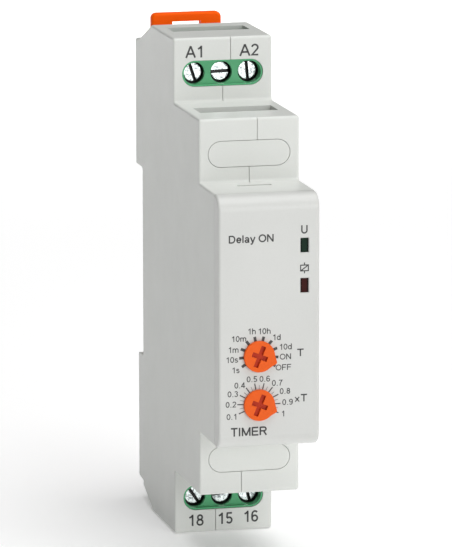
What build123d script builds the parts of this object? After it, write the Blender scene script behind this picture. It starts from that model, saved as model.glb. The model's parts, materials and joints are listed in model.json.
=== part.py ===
from build123d import *
import math
import os

# DIN rail timer, one module wide, in millimetres.
# Origin: centre of the rail seat. +X is right and +Z is up as seen from the front, and
# the front faces -Y. The rail lies behind the seat, along X.

# ---------------------------------------------------------------- driving sizes: housing
WIDTH = 18.0
HEIGHT = 90.0
FACE_DEPTH = 58.8            # rail seat to front face
TIER2_DEPTH = 44.6           # rail seat to the face of the blanked terminals
TIER1_DEPTH = 25.3           # rail seat to the face of the wired terminals
REAR_DEPTH = 5.2             # how far the feet reach behind the rail seat
TIER2_HEIGHT = 67.0
FACE_HEIGHT = 44.4
NOTCH_HEIGHT = 35.3
CHAMFER_START = 7.6          # the top flat ends this far in front of the seat
CHAMFER_END = 2.0            # the chamfer ends this far behind the seat
CHAMFER_DROP = 3.7
FOOT_DROP = 0.3
SIDE_WALL = 1.3
WALL = 1.4
CORNER_R = 0.5
SIDE_EDGE_R = 0.4
SEAM_STEP = 1.45             # how far the seam between the halves steps sideways
SEAM_WIDTH = 0.12
SEAM_DEPTH = 0.35
FOOT_INSET = 0.4             # the lower foot is this much narrower on each side
SEAT_HEIGHT = 30.0
SEAT_RELIEF = 0.3
FIT_GAP = 0.1                # clearance between flat faces that slide or slip together
SHAFT_GAP = 0.08             # radial clearance of a shaft in its hole

# ---------------------------------------------------------------- driving sizes: front cover
COVER_DEPTH = 3.3
COVER_WALL = 1.5
COVER_TOP_R = 2.8
COVER_BOTTOM_R = 2.3
COVER_SIDE_R = 0.5
SKIRT_WALL = 0.5
SKIRT_LENGTH = 1.6
LATCH_WIDTH = 5.8
LATCH_ARM = 0.8
LATCH_NUB = 1.0
LATCH_REACH = 7.2            # cover seam to the latch slit
LATCH_SLIT = (6.1, 1.1)

# ---------------------------------------------------------------- driving sizes: terminals
POLES = (-5.0, 0.0, 5.0)
TERMINAL_DROP = 6.45         # screw centres below the top of the housing
WINDOW = (14.8, 4.7)
ENTRY_WIDTH = 14.1
ENTRY_SETBACK = 8.5          # terminal face to the wire entry
ENTRY_DEPTH = 5.0
BLOCK_DEPTH = 14.8
BLOCK_DROP = 5.15            # screw centres to the underside of the block
COLLAR_PROUD = 1.25
COLLAR_WALL = 0.3
COLLAR_DEPTH = 0.95
CELL_GAP = 0.1               # between a clamp cage and its cell
CELL_HEIGHT = 6.1
HEAD_R = 1.72
HEAD_BORE_GAP = 0.26
HEAD_THICK = 1.45
HEAD_SUNK = 2.4              # terminal face to the screw head
SLOT_WIDTH = 0.6
SLOT_DEPTH = 0.9
SHANK_R = 1.25
CAGE_WIDTH = 4.1
CAGE_HEIGHT = 5.1
CAGE_WALL = 0.9
CAGE_SIDE = 0.75
CAGE_TRAVEL = 2.7
HEAD_LIP = 0.5               # wall between the screw head and the cell
WIRE_GAP = 3.2               # bus bar to the back of the open cage
BAR_THICK = 0.8
BAR_SLACK = 0.2              # bus bar in the cage, on each side
LEG_WIDTH = 1.0
PIN = 0.8
TAIL_PIN_DROP = (3.9, 2.5, 1.1)    # below the top edge of the main board
SLOT_TURN = {"a1": -18.0, "unused": 88.0, "a2": -5.0, "18": -34.0, "15": 84.0, "16": -16.0}

# ---------------------------------------------------------------- driving sizes: blanking plugs
PLUG_DROP = 6.3              # plug centre below its terrace
PLUG_GAP = 0.09
PLUG_WINDOW = (14.8, 4.7)
PLUG_FLANGE = (6.0, 1.0)
POCKET_WIDTH = 14.1
POCKET_SETBACK = 7.1
POCKET_OPEN = 5.4
POCKET_DEPTH = 6.0
POCKET_WALL = 1.0

# ---------------------------------------------------------------- driving sizes: rail clip
CLIP_WIDTH = 13.0
CLIP_Y = (2.25, 4.2)
CLIP_PROUD = 0.7             # tab above the top of the housing
CLIP_TOP_R = 1.0
CLIP_WINDOW = (5.4, 2.8)
CLIP_BRIDGE = 1.6            # above the window
CLIP_BOSS = 1.5
CLIP_LIP_TALL = 2.4
LIP_OVERLAP = 1.45           # how far both lips reach into the notch
LIP_Y = 1.3                  # how far both lips lie behind the seat
CLIP_TRAVEL = 3.5
CHANNEL_LIP = 1.6
CHANNEL_DEEP_Y = 1.2
SPRING_R = 1.35
SPRING_WIRE_R = 0.2
SPRING_SETBACK = 6.35        # above the notch
SPRING_LENGTH = 12.0
SPRING_Y = 0.6
SPRING_TURNS = 9
SPRING_POCKET = 3.2
HOOK_WIDTH = 15.0
HOOK_THICK = 3.1
LIP_EDGE = 0.8               # flat edge of both lips
LIP_SLANT = 1.3              # rise of their lead-in

# ---------------------------------------------------------------- driving sizes: controls
KNOB_X = -1.85
RANGE_Z = -5.9
TIME_Z = -14.47
KNOB_R = 2.75
KNOB_THICK = 0.65
KNOB_EDGE_R = 0.15
POINTER_R = 3.35
POINTER_ANGLE = 112.0        # clockwise from straight up, seen from the front
POINTER_HALF = 24.0          # the pointer leaves the disc this far to each side
POINTER_TIP = (0.25, 0.15)
POINTER_STEP = 0.12          # how far it lies below the disc's face
CROSS_ARMS = (3.9, 2.85)     # across the pointer, and along it
CROSS_WIDTH = 0.85
CROSS_DEPTH = 0.5
STEM_R = 1.5
PEG = 1.6
PEG_GAP = 0.02
ROTOR_R = 2.2
ROTOR_THICK = 1.1
WIPER_THICK = 0.3
POT_SIZE = 6.6
POT_DEPTH = 3.1
POT_CORNER = 0.5
WIPER = (0.7, 0.9)           # width, and where it starts from the axis
POT_LEG_R = 0.3
POT_LEGS = ((-2.54, -2.0), (0.0, 2.0), (2.54, -2.0))
FRONT_BOARD_SETBACK = 7.4    # front face to the front board
FRONT_BOARD_THICK = 1.2
BOARD_MARGIN = 0.7           # between a board's edge and the wall beside it
LIGHT_X = 6.3
POWER_LIGHT_Z = 13.2
RELAY_LIGHT_Z = 6.15
LIGHT = (1.4, 2.5)
LIGHT_GAP = 0.03
LIGHT_SUNK = 0.25
LIGHT_FLANGE = (3.6, 0.8)
LIGHT_BEVEL = 0.12
LED = (1.2, 2.0, 0.8)
LED_BEVEL = 0.2

# ---------------------------------------------------------------- driving sizes: main board
BOARD_BEHIND = 0.9           # room behind the main board for the solder side
BOARD_THICK = 1.6
BOARD_REACH = 0.8            # how far a soldered pin stands out behind the board
HOLE_GAP = 0.12
HEADER_DEPTH = 2.4
HEADER_PITCH = 2.54
HEADER_PINS = 6
HEADER_PIN = 0.64
HEADER_OUT = 1.7             # main board to the middle of the header
HEADER_WIDTH = 2.4
HEADER_BEND = 1.2            # board edge to the middle of the bent pins
LEAD_R = 0.3
LEAD_ROOT = 0.2              # how far a lead starts inside its body
FILM_YZ = (-26.2, 10.0)
FILM_SIZE = (6.0, 13.0, 10.5)
FILM_LEAD = 5.0              # leads to each side of the middle
FILTER_YZ = (-24.6, 24.2)
FILTER_R = 4.0
FILTER_TALL = 11.6
FILTER_LEAD = 1.8
FILTER_GROOVE = (1.9, 0.7, 0.3)    # place above the board, width and depth
VARISTOR_YZ = (-11.0, 10.0)
VARISTOR_R = 4.0
VARISTOR_THICK = 3.6
VARISTOR_TALL = 5.2
VARISTOR_LEAD = 2.5
BRIDGE_YZ = (-11.0, -9.0)
BRIDGE_SIZE = (8.4, 6.4, 3.2)
BRIDGE_LEAD = (3.0, 2.5)
CHIP_YZ = (-38.5, -2.0)
CHIP_SIZE = (3.9, 8.6, 1.6)
CHIP_PITCH = 1.27
CHIP_LEGS = 7
CHIP_LEG = (0.42, 0.2, 3.0)  # width, thickness and reach from the middle
SMALL_CHIP = (0.85, 1.6, 0.55)
LARGE_CHIP = (1.25, 2.0, 0.7)

# ---------------------------------------------------------------- driving sizes: relay
RELAY_SETBACK = 24.6         # rail seat to the middle of the relay
RELAY_Z = (-30.2, -1.8)
RELAY_WIDTH = 10.1
RELAY_TALL = 12.4
RELAY_WALL = 0.6
RELAY_PIN_R = 0.5
COIL_Z = -9.6
COIL_R = 3.8
CORE_R = 1.5
POLE_FACE_R = 2.3
FLANGE = 8.4
YOKE_THICK = 1.0
YOKE_HINGE_Z = -3.7
YOKE_TALL = 9.3
ARMATURE_U = (9.45, 10.25)
CONTACT_Z = -25.0
CONTACT_R = 1.1
BLADE_THICK = 0.25
BASE_TALL = (0.1, 1.6)
COIL_PINS = ((-3.4, -14.9), (3.4, -14.9))
COIL_TALL = (2.7, 8.5)
FLANGE_THICK = 0.6
TUBE_R = 2.0
STRIP_THICK = 0.3
BREAK_STRIP_Z = -28.4
MAKE_STRIP_Z = -21.9
MAKE_FACE = 8.05
CONTACT_TALL = 0.55          # moving contact, on each face of the blade
CONTACT_BED = 0.4            # fixed contacts
HOLD_GAP = 0.05              # between the closed contacts

FRONT_Y = -FACE_DEPTH
TIER2_Y = -TIER2_DEPTH
TIER1_Y = -TIER1_DEPTH
COVER_SEAM_Y = FRONT_Y + COVER_DEPTH
HALF_WIDTH = WIDTH / 2
TOP_Z = HEIGHT / 2
TIER2_Z = TIER2_HEIGHT / 2
FACE_Z = FACE_HEIGHT / 2
NOTCH_Z = NOTCH_HEIGHT / 2
INNER_X = HALF_WIDTH - SIDE_WALL

TERMINAL_Z = TOP_Z - TERMINAL_DROP
ENTRY_Y = (TIER1_Y + ENTRY_SETBACK, TIER1_Y + ENTRY_SETBACK + ENTRY_DEPTH)
BLOCK_WIDTH = (INNER_X - FIT_GAP * 2) * 2
BLOCK_Y = (TIER1_Y + WALL + FIT_GAP, TIER1_Y + WALL + FIT_GAP + BLOCK_DEPTH)
BLOCK_Z = (TERMINAL_Z - BLOCK_DROP, TOP_Z - WALL - FIT_GAP * 2)
HEAD_Y = TIER1_Y + HEAD_SUNK
HEAD_BORE_R = HEAD_R + HEAD_BORE_GAP
LIP_FRONT_Y = HEAD_Y + HEAD_THICK + FIT_GAP / 2
CELL_FRONT_Y = LIP_FRONT_Y + HEAD_LIP
CAGE_FRONT_Y = CELL_FRONT_Y + CELL_GAP + CAGE_TRAVEL
BAR_FRONT_Y = CAGE_FRONT_Y + CAGE_WALL + FIT_GAP
BAR_Y = (BAR_FRONT_Y, BAR_FRONT_Y + BAR_THICK)
CAGE_Y = (CAGE_FRONT_Y, BAR_Y[1] + WIRE_GAP + CAGE_WALL)
CELL_Y = (CELL_FRONT_Y, CAGE_Y[1] + CELL_GAP * 2)
CELL_Z = (TERMINAL_Z - CELL_HEIGHT / 2, TERMINAL_Z + CELL_HEIGHT / 2)
CELL_WIDTH = CAGE_WIDTH + CELL_GAP * 2
BAR_WIDTH = CAGE_WIDTH - CAGE_SIDE * 2 - BAR_SLACK * 2
BAR_TOP_Z = CELL_Z[1] - CELL_GAP * 2

PLUG_Z = TIER2_Z - PLUG_DROP
POCKET_Y = (TIER2_Y + POCKET_SETBACK, TIER2_Y + POCKET_SETBACK + POCKET_OPEN)
LATCH_Y = COVER_SEAM_Y + LATCH_REACH

CLIP_TOP = TOP_Z + CLIP_PROUD
CLIP_LIP_Z = NOTCH_Z - LIP_OVERLAP
CLIP_LIP_TOP = CLIP_LIP_Z + CLIP_LIP_TALL
SPRING_Z = (NOTCH_Z + SPRING_SETBACK, NOTCH_Z + SPRING_SETBACK + SPRING_LENGTH)
HOOK_Z = -NOTCH_Z + LIP_OVERLAP

BOARD_FRONT_Y = (FRONT_Y + FRONT_BOARD_SETBACK, FRONT_Y + FRONT_BOARD_SETBACK + FRONT_BOARD_THICK)
POT_FRONT_Y = BOARD_FRONT_Y[0] - POT_DEPTH
ROTOR_Y = (POT_FRONT_Y, POT_FRONT_Y + ROTOR_THICK)
BOARD_X = INNER_X - BOARD_BEHIND - BOARD_THICK
MAIN_FRONT_Y = BOARD_FRONT_Y[1] + HEADER_DEPTH + 0.3
MAIN_STEP_Y = POCKET_Y[1] + POCKET_WALL + BOARD_MARGIN
MAIN_REAR_Y = SPRING_Y - SPRING_POCKET / 2 - WALL - BOARD_MARGIN
MAIN_LOW_HALF = FACE_Z - WALL - LATCH_ARM - BOARD_MARGIN
MAIN_HIGH_HALF = min(BLOCK_Z[0] - BOARD_MARGIN * 2, TIER2_Z - WALL - FIT_GAP)
TAIL_PIN_Z = [MAIN_HIGH_HALF - drop for drop in TAIL_PIN_DROP]
HEADER_X = BOARD_X - HEADER_OUT
HEADER_BEND_Y = MAIN_FRONT_Y + HEADER_BEND
RELAY_Y = -RELAY_SETBACK
PIN_TALL = (-BOARD_THICK - BOARD_REACH, BASE_TALL[1])
BREAK_FACE = ARMATURE_U[1] + BLADE_THICK + CONTACT_TALL


# ---------------------------------------------------------------- shape helpers
def block(x, y, z):
    """A box from its (low, high) pair along each axis."""
    centre = [(low + high) / 2 for low, high in (x, y, z)]
    return Pos(*centre) * Box(x[1] - x[0], y[1] - y[0], z[1] - z[0])


def about(middle, size):
    """The (low, high) pair of a size centred on a middle."""
    return (middle - size / 2, middle + size / 2)


def rod_x(y, z, radius, x):
    return Pos((x[0] + x[1]) / 2, y, z) * Rot(0, 90, 0) * Cylinder(radius, x[1] - x[0])


def rod_y(x, z, radius, y):
    return Pos(x, (y[0] + y[1]) / 2, z) * Rot(90, 0, 0) * Cylinder(radius, y[1] - y[0])


def rod_z(x, y, radius, z):
    return Pos(x, y, (z[0] + z[1]) / 2) * Cylinder(radius, z[1] - z[0])


def stadium(z, size, y):
    """A round-ended slug along Y, centred on x = 0."""
    radius = size[1] / 2
    reach = size[0] / 2 - radius
    middle = block((-reach, reach), y, about(z, size[1]))
    return middle + rod_y(-reach, z, radius, y) + rod_y(reach, z, radius, y)


def prism_x(points, x):
    """A prism along X from its (y, z) outline."""
    outline = Polyline([(x[0], y, z) for y, z in points], close=True)
    return extrude(make_face(outline), amount=x[1] - x[0], dir=(1, 0, 0))


def prism_y(points, y):
    """A prism along Y from its (x, z) outline."""
    outline = Polyline([(x, y[0], z) for x, z in points], close=True)
    return extrude(make_face(outline), amount=y[1] - y[0], dir=(0, 1, 0))


def flip(shape):
    """The same piece at the other end of the housing."""
    return mirror(shape, about=Plane.XY)


# ---------------------------------------------------------------- housing
def housing_outline(inset, front):
    """Side outline of the stepped housing, every wall moved inwards by inset."""
    upper = [
        (front, FACE_Z - inset),
        (TIER2_Y + inset, FACE_Z - inset),
        (TIER2_Y + inset, TIER2_Z - inset),
        (TIER1_Y + inset, TIER2_Z - inset),
        (TIER1_Y + inset, TOP_Z - inset),
        (-CHAMFER_START, TOP_Z - inset),
        (CHAMFER_END - inset, TOP_Z - CHAMFER_DROP - inset),
        (REAR_DEPTH - inset, TOP_Z - CHAMFER_DROP - FOOT_DROP - inset),
        (REAR_DEPTH - inset, NOTCH_Z + inset),
        (-inset, NOTCH_Z + inset),
    ]
    return upper + [(y, -z) for y, z in reversed(upper)]


def housing_solid():
    """The rounded outer form, without the front cover."""
    solid = prism_x(housing_outline(0, COVER_SEAM_Y), (-HALF_WIDTH, HALF_WIDTH))
    corners = solid.edges().filter_by(Axis.X)
    corners = corners.filter_by(lambda edge: edge.center().Y > COVER_SEAM_Y + CORNER_R)
    solid = fillet(corners, CORNER_R)
    rims = solid.faces().filter_by(Axis.X).edges()
    rims = rims.filter_by(lambda edge: edge.center().Y > COVER_SEAM_Y + SIDE_EDGE_R / 10)
    return fillet(rims, SIDE_EDGE_R)


def cavity():
    """The hollow for the boards and terminals."""
    inner_x = (-INNER_X, INNER_X)
    hollow = prism_x(housing_outline(WALL, COVER_SEAM_Y - 1), inner_x)
    channel_wall_y = CLIP_Y[0] - FIT_GAP - WALL
    behind = block((-WIDTH, WIDTH), (channel_wall_y, REAR_DEPTH + 1), (0, TOP_Z + 1))
    return hollow - behind


def clip_channel():
    """T-shaped way for the rail clip, open at the rear, the top and the notch."""
    half = CLIP_WIDTH / 2 + FIT_GAP * 2
    slide_y = (CLIP_Y[0] - FIT_GAP, CLIP_Y[1] + FIT_GAP)
    tall = (NOTCH_Z - 1, TOP_Z + 2)
    way = block((-half, half), slide_y, tall)
    mouth = block((-half + CHANNEL_LIP, half - CHANNEL_LIP), (slide_y[0], REAR_DEPTH + 1), tall)
    lip_room = (NOTCH_Z - 1, CLIP_LIP_TOP + CLIP_TRAVEL + FIT_GAP)
    deep = block((-half, half), (CHANNEL_DEEP_Y, slide_y[1]), lip_room)
    pocket_z = (SPRING_Z[0] - CLIP_BOSS - FIT_GAP, SPRING_Z[1])
    pocket_y = (SPRING_Y - SPRING_POCKET / 2, slide_y[1])
    pocket = block(about(0, SPRING_POCKET), pocket_y, pocket_z)
    return way + mouth + deep + pocket


def spring_housing():
    """Solid boss in the hollow that carries the spring pocket."""
    side = SPRING_POCKET / 2 + WALL
    front = SPRING_Y - SPRING_POCKET / 2 - WALL
    low = SPRING_Z[0] - CLIP_BOSS - WALL
    return block((-side, side), (front, CLIP_Y[0]), (low, SPRING_Z[1] + WALL))


def rail_hook():
    """Fixed lip that goes behind the lower edge of the rail, with a slanted lead-in."""
    z_low = -NOTCH_Z - WALL
    points = [
        (LIP_Y, z_low),
        (LIP_Y, HOOK_Z),
        (LIP_Y + LIP_EDGE, HOOK_Z),
        (LIP_Y + HOOK_THICK, HOOK_Z - LIP_SLANT),
        (LIP_Y + HOOK_THICK, z_low),
    ]
    return prism_x(points, about(0, HOOK_WIDTH))


def blind_pocket():
    """The unused upper wire entry: a shallow walled pocket, as (solid, hollow)."""
    floor_z = TIER2_Z - POCKET_DEPTH
    solid_y = (POCKET_Y[0] - POCKET_WALL, POCKET_Y[1] + POCKET_WALL)
    solid = block((-INNER_X, INNER_X), solid_y, (floor_z - POCKET_WALL, TIER2_Z - WALL / 2))
    hollow = block(about(0, POCKET_WIDTH), POCKET_Y, (floor_z, TIER2_Z + 1))
    return solid, hollow


def seam_bands():
    """(z low, z high, x, y of the face) of the seam between the two halves."""
    upper = [
        (0, PLUG_Z, 0.0, TIER2_Y),
        (PLUG_Z, TIER2_Z, SEAM_STEP, TIER2_Y),
        (TIER2_Z, TERMINAL_Z, 0.0, TIER1_Y),
        (TERMINAL_Z, TOP_Z + 1, SEAM_STEP, TIER1_Y),
    ]
    return upper + [(-high, -low, -x, face_y) for low, high, x, face_y in upper]


def housing_shell():
    """Both halves of the case as one, before they are split."""
    shell = housing_solid() - cavity()
    shell += spring_housing()
    pocket, pocket_hollow = blind_pocket()
    shell += pocket + flip(pocket)
    shell -= pocket_hollow + flip(pocket_hollow)
    shell += rail_hook()
    shell -= clip_channel()

    everywhere = (-WIDTH, WIDTH)
    slit_z = (FACE_Z - WALL - 1, FACE_Z + 1)
    cuts = [
        stadium(TERMINAL_Z, WINDOW, (TIER1_Y - 1, TIER1_Y + WALL + 0.1)),
        stadium(PLUG_Z, PLUG_WINDOW, (TIER2_Y - 1, TIER2_Y + WALL + 0.1)),
        block(about(0, ENTRY_WIDTH), ENTRY_Y, (TOP_Z - WALL - 0.1, TOP_Z + 1)),
        block(about(0, LATCH_SLIT[0]), about(LATCH_Y, LATCH_SLIT[1]), slit_z),
        block(everywhere, (-SEAT_RELIEF, 1.0), (SEAT_HEIGHT / 2, NOTCH_Z)),
    ]
    for cut in cuts:
        shell -= cut
        shell -= flip(cut)
    for side in (-1, 1):
        low, high = sorted((side * (HALF_WIDTH - FOOT_INSET), side * WIDTH))
        shell -= block((low, high), (0, REAR_DEPTH + 1), (-TOP_Z - 1, -NOTCH_Z))
    return shell


def case_halves():
    """(left, right): the shell parted along the stepped seam, with a fine groove in the faces."""
    shell = housing_shell()
    right_side = []
    for low, high, x, face_y in seam_bands():
        right_side.append(block((x, WIDTH), (FRONT_Y, REAR_DEPTH + 1), (low, high)))
        if high > FACE_Z or low < -FACE_Z:
            shell -= block(about(x, SEAM_WIDTH), (face_y - 1, face_y + SEAM_DEPTH), (low, high))
    right_side = Part() + right_side
    return shell - right_side, shell & right_side


def blanking_plug():
    """Flush plug with a flange behind the wall."""
    flange_y = TIER2_Y + WALL + FIT_GAP
    size = [side - PLUG_GAP * 2 for side in PLUG_WINDOW]
    head = stadium(PLUG_Z, size, (TIER2_Y, flange_y))
    flange_x = INNER_X - FIT_GAP
    flange_z = about(PLUG_Z, PLUG_FLANGE[0])
    flange = block((-flange_x, flange_x), (flange_y, flange_y + PLUG_FLANGE[1]), flange_z)
    return head + flange


# ---------------------------------------------------------------- front cover
def front_cover():
    """Cap with rounded edges, a skirt that slips into the case and two latch arms."""
    outer_z = (-FACE_Z, FACE_Z)
    cap = block((-HALF_WIDTH, HALF_WIDTH), (FRONT_Y, COVER_SEAM_Y), outer_z)
    front_edges = cap.edges().filter_by(Axis.X).group_by(Axis.Y)[0]
    cap = fillet(front_edges.sort_by(Axis.Z)[-1], COVER_TOP_R)
    front_edges = cap.edges().filter_by(Axis.X).group_by(Axis.Y)[0]
    cap = fillet(front_edges.sort_by(Axis.Z)[0], COVER_BOTTOM_R)
    rims = cap.faces().filter_by(Axis.X).edges()
    rims = rims.filter_by(lambda edge: edge.center().Y < COVER_SEAM_Y - 0.01)
    cap = fillet(rims, COVER_SIDE_R)
    seam_y = (COVER_SEAM_Y - SEAM_WIDTH, COVER_SEAM_Y + 1)
    within = (about(0, WIDTH - SEAM_DEPTH * 2), seam_y, about(0, FACE_HEIGHT - SEAM_DEPTH * 2))
    cap -= block((-WIDTH, WIDTH), seam_y, (-FACE_HEIGHT, FACE_HEIGHT)) - block(*within)

    inner_z = FACE_Z - WALL
    inner_y = FRONT_Y + COVER_WALL
    cap -= block((-INNER_X, INNER_X), (inner_y, COVER_SEAM_Y + 1), (-inner_z, inner_z))
    skirt_x = INNER_X - FIT_GAP
    skirt_z = inner_z - FIT_GAP
    skirt_y = (inner_y, COVER_SEAM_Y + SKIRT_LENGTH)
    skirt = block((-skirt_x, skirt_x), skirt_y, (-skirt_z, skirt_z))
    room_x = skirt_x - SKIRT_WALL
    room_z = skirt_z - SKIRT_WALL
    cap += skirt - block((-room_x, room_x), skirt_y, (-room_z, room_z))
    bridge_x = (INNER_X - FIT_GAP * 2, INNER_X + FIT_GAP)
    bridge_z = (-inner_z - FIT_GAP, inner_z + FIT_GAP)
    bridge_y = (inner_y, COVER_SEAM_Y)
    for side in (-1, 1):
        low, high = sorted((side * bridge_x[0], side * bridge_x[1]))
        cap += block((low, high), bridge_y, bridge_z)
        ends = sorted((side * (inner_z - FIT_GAP * 2), side * (inner_z + FIT_GAP)))
        cap += block((-INNER_X, INNER_X), bridge_y, tuple(ends))

    arm_top = inner_z - FIT_GAP
    nub_y = about(LATCH_Y, LATCH_SLIT[1] - FIT_GAP * 3)
    arm = block(about(0, LATCH_WIDTH), (inner_y, nub_y[1]), (arm_top - LATCH_ARM, arm_top))
    nub_points = [
        (nub_y[0], arm_top - 0.1),
        (nub_y[0], arm_top + LATCH_NUB),
        (nub_y[1], arm_top + LATCH_NUB * 0.45),
        (nub_y[1], arm_top - 0.1),
    ]
    latch = arm + prism_x(nub_points, about(0, LATCH_WIDTH))
    cap += latch + flip(latch)

    for z in (RANGE_Z, TIME_Z):
        cap -= rod_y(KNOB_X, z, STEM_R + SHAFT_GAP, (FRONT_Y - 1, inner_y + 1))
    for z in (POWER_LIGHT_Z, RELAY_LIGHT_Z):
        hole_x = about(LIGHT_X, LIGHT[0] + LIGHT_GAP * 2)
        hole_z = about(z, LIGHT[1] + LIGHT_GAP * 2)
        cap -= block(hole_x, (FRONT_Y - 1, inner_y + 1), hole_z)
        mouth = cap.edges().filter_by_position(Axis.Y, FRONT_Y - 0.01, FRONT_Y + 0.01)
        mouth = mouth.filter_by_position(Axis.X, hole_x[0] - 0.01, hole_x[1] + 0.01)
        mouth = mouth.filter_by_position(Axis.Z, hole_z[0] - 0.01, hole_z[1] + 0.01)
        cap = chamfer(mouth, LIGHT_BEVEL)
    return cap


def light_window(z):
    """Light pipe: a head in the cover, a flange behind it and a stem down to the lamp."""
    inner_y = FRONT_Y + COVER_WALL
    lamp_y = BOARD_FRONT_Y[0] - LED[2]
    head = block(about(LIGHT_X, LIGHT[0]), (FRONT_Y + LIGHT_SUNK, inner_y), about(z, LIGHT[1]))
    flange_y = (inner_y, inner_y + LIGHT_FLANGE[1])
    flange = block(about(LIGHT_X, LIGHT[0]), flange_y, about(z, LIGHT_FLANGE[0]))
    stem_y = (flange_y[1], lamp_y - FIT_GAP)
    stem = block(about(LIGHT_X, LED[0]), stem_y, about(z, LED[1]))
    return head + flange + stem


def lamp(z):
    """Surface mounted lamp: white body with a clear dome-edged lens."""
    body_y = (BOARD_FRONT_Y[0] - LED[2], BOARD_FRONT_Y[0])
    body = block(about(LIGHT_X, LED[0]), body_y, about(z, LED[1]))
    return chamfer(body.edges().filter_by(Axis.Z).group_by(Axis.Y)[0], LED_BEVEL)


# ---------------------------------------------------------------- knobs and trimmers
def knob(z):
    """Round knob with a pointer, a cross recess, a stem and a square peg."""
    disc_y = (FRONT_Y - FIT_GAP - KNOB_THICK, FRONT_Y - FIT_GAP)
    disc = rod_y(0, 0, KNOB_R, disc_y)
    disc = fillet(disc.edges().group_by(Axis.Y)[0], KNOB_EDGE_R)
    turn = math.radians(POINTER_HALF)
    flank = (KNOB_R * math.sin(turn), KNOB_R * math.cos(turn))
    shoulder = (POINTER_TIP[0], POINTER_R - POINTER_TIP[1])
    points = [(-flank[0], flank[1]), (0, KNOB_R / 2), flank]
    points += [shoulder, (0, POINTER_R), (-shoulder[0], shoulder[1])]
    head = disc + prism_y(points, (disc_y[0] + POINTER_STEP, disc_y[1]))
    cut_y = (disc_y[0] - 1, disc_y[0] + CROSS_DEPTH)
    head -= block(about(0, CROSS_ARMS[0]), cut_y, about(0, CROSS_WIDTH))
    head -= block(about(0, CROSS_WIDTH), cut_y, about(0, CROSS_ARMS[1]))
    peg_y = (ROTOR_Y[0] - FIT_GAP, ROTOR_Y[1])
    stem = rod_y(0, 0, STEM_R, (disc_y[1], peg_y[0]))
    peg = block(about(0, PEG), peg_y, about(0, PEG))
    return Pos(KNOB_X, 0, z) * Rot(0, POINTER_ANGLE, 0) * (head + stem + peg)


def pot_rotor(z):
    """Rotor disc of a trimmer, with a square socket for the knob and a wiper at the back."""
    disc = rod_y(0, 0, ROTOR_R, ROTOR_Y)
    socket = PEG + PEG_GAP * 2
    disc -= block(about(0, socket), ROTOR_Y, about(0, socket))
    wiper_y = (ROTOR_Y[1], ROTOR_Y[1] + WIPER_THICK)
    disc += block(about(0, WIPER[0]), wiper_y, (WIPER[1], ROTOR_R - FIT_GAP * 2))
    return Pos(KNOB_X, 0, z) * Rot(0, POINTER_ANGLE, 0) * disc


def pot_base(z):
    """Square trimmer body with a round well for the rotor and three legs."""
    body = block(about(KNOB_X, POT_SIZE), (POT_FRONT_Y, BOARD_FRONT_Y[0]), about(z, POT_SIZE))
    body = chamfer(body.edges().filter_by(Axis.Y), POT_CORNER)
    well_y = (POT_FRONT_Y - 1, ROTOR_Y[1] + WIPER_THICK + FIT_GAP)
    body -= rod_y(KNOB_X, z, ROTOR_R + SHAFT_GAP, well_y)
    leg_y = (BOARD_FRONT_Y[0], BOARD_FRONT_Y[1] + BOARD_REACH)
    for x, dz in POT_LEGS:
        body += rod_y(KNOB_X + x, z + dz, POT_LEG_R, leg_y)
    return body


def front_board():
    """Board behind the cover that carries the trimmers, the lamps and the header."""
    half_x = INNER_X - BOARD_MARGIN
    board = block((-half_x, half_x), BOARD_FRONT_Y, (-MAIN_LOW_HALF, MAIN_LOW_HALF))
    hole_y = (BOARD_FRONT_Y[0] - 1, BOARD_FRONT_Y[1] + 1)
    for z in (RANGE_Z, TIME_Z):
        for x, dz in POT_LEGS:
            board -= rod_y(KNOB_X + x, z + dz, POT_LEG_R + HOLE_GAP, hole_y)
    for z in header_rows():
        board -= rod_y(HEADER_X, z, square_reach(HEADER_PIN) + HOLE_GAP, hole_y)
    return board


# ---------------------------------------------------------------- main board
def square_reach(side):
    """From the middle of a square pin to its corner."""
    return side / math.sqrt(2)


def header_rows():
    """Heights of the pins that join the two boards."""
    first = -HEADER_PITCH * (HEADER_PINS - 1) / 2
    return [first + HEADER_PITCH * index for index in range(HEADER_PINS)]


def board_header():
    """Right-angle pin strip between the two boards."""
    length = HEADER_PITCH * HEADER_PINS
    body_y = (BOARD_FRONT_Y[1], BOARD_FRONT_Y[1] + HEADER_DEPTH)
    strip = block(about(HEADER_X, HEADER_WIDTH), body_y, about(0, length))
    behind_x = BOARD_X + BOARD_THICK + BOARD_REACH
    for z in header_rows():
        long_y = (BOARD_FRONT_Y[0] - BOARD_REACH / 2, HEADER_BEND_Y + HEADER_PIN / 2)
        strip += block(about(HEADER_X, HEADER_PIN), long_y, about(z, HEADER_PIN))
        bend_x = (HEADER_X - HEADER_PIN / 2, behind_x)
        strip += block(bend_x, about(HEADER_BEND_Y, HEADER_PIN), about(z, HEADER_PIN))
    return strip


def around(middle, reach_y, reach_z):
    """The (y, z) places to each side of a middle, on one axis or both."""
    ys = sorted({middle[0] - reach_y, middle[0] + reach_y})
    zs = sorted({middle[1] - reach_z, middle[1] + reach_z})
    return [(y, z) for y in ys for z in zs]


def lead_places():
    """Where the leads of each component pass through the main board."""
    return {
        "film": around(FILM_YZ, 0, FILM_LEAD),
        "filter": around(FILTER_YZ, 0, FILTER_LEAD),
        "varistor": around(VARISTOR_YZ, VARISTOR_LEAD, 0),
        "bridge": around(BRIDGE_YZ, *BRIDGE_LEAD),
    }


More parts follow.
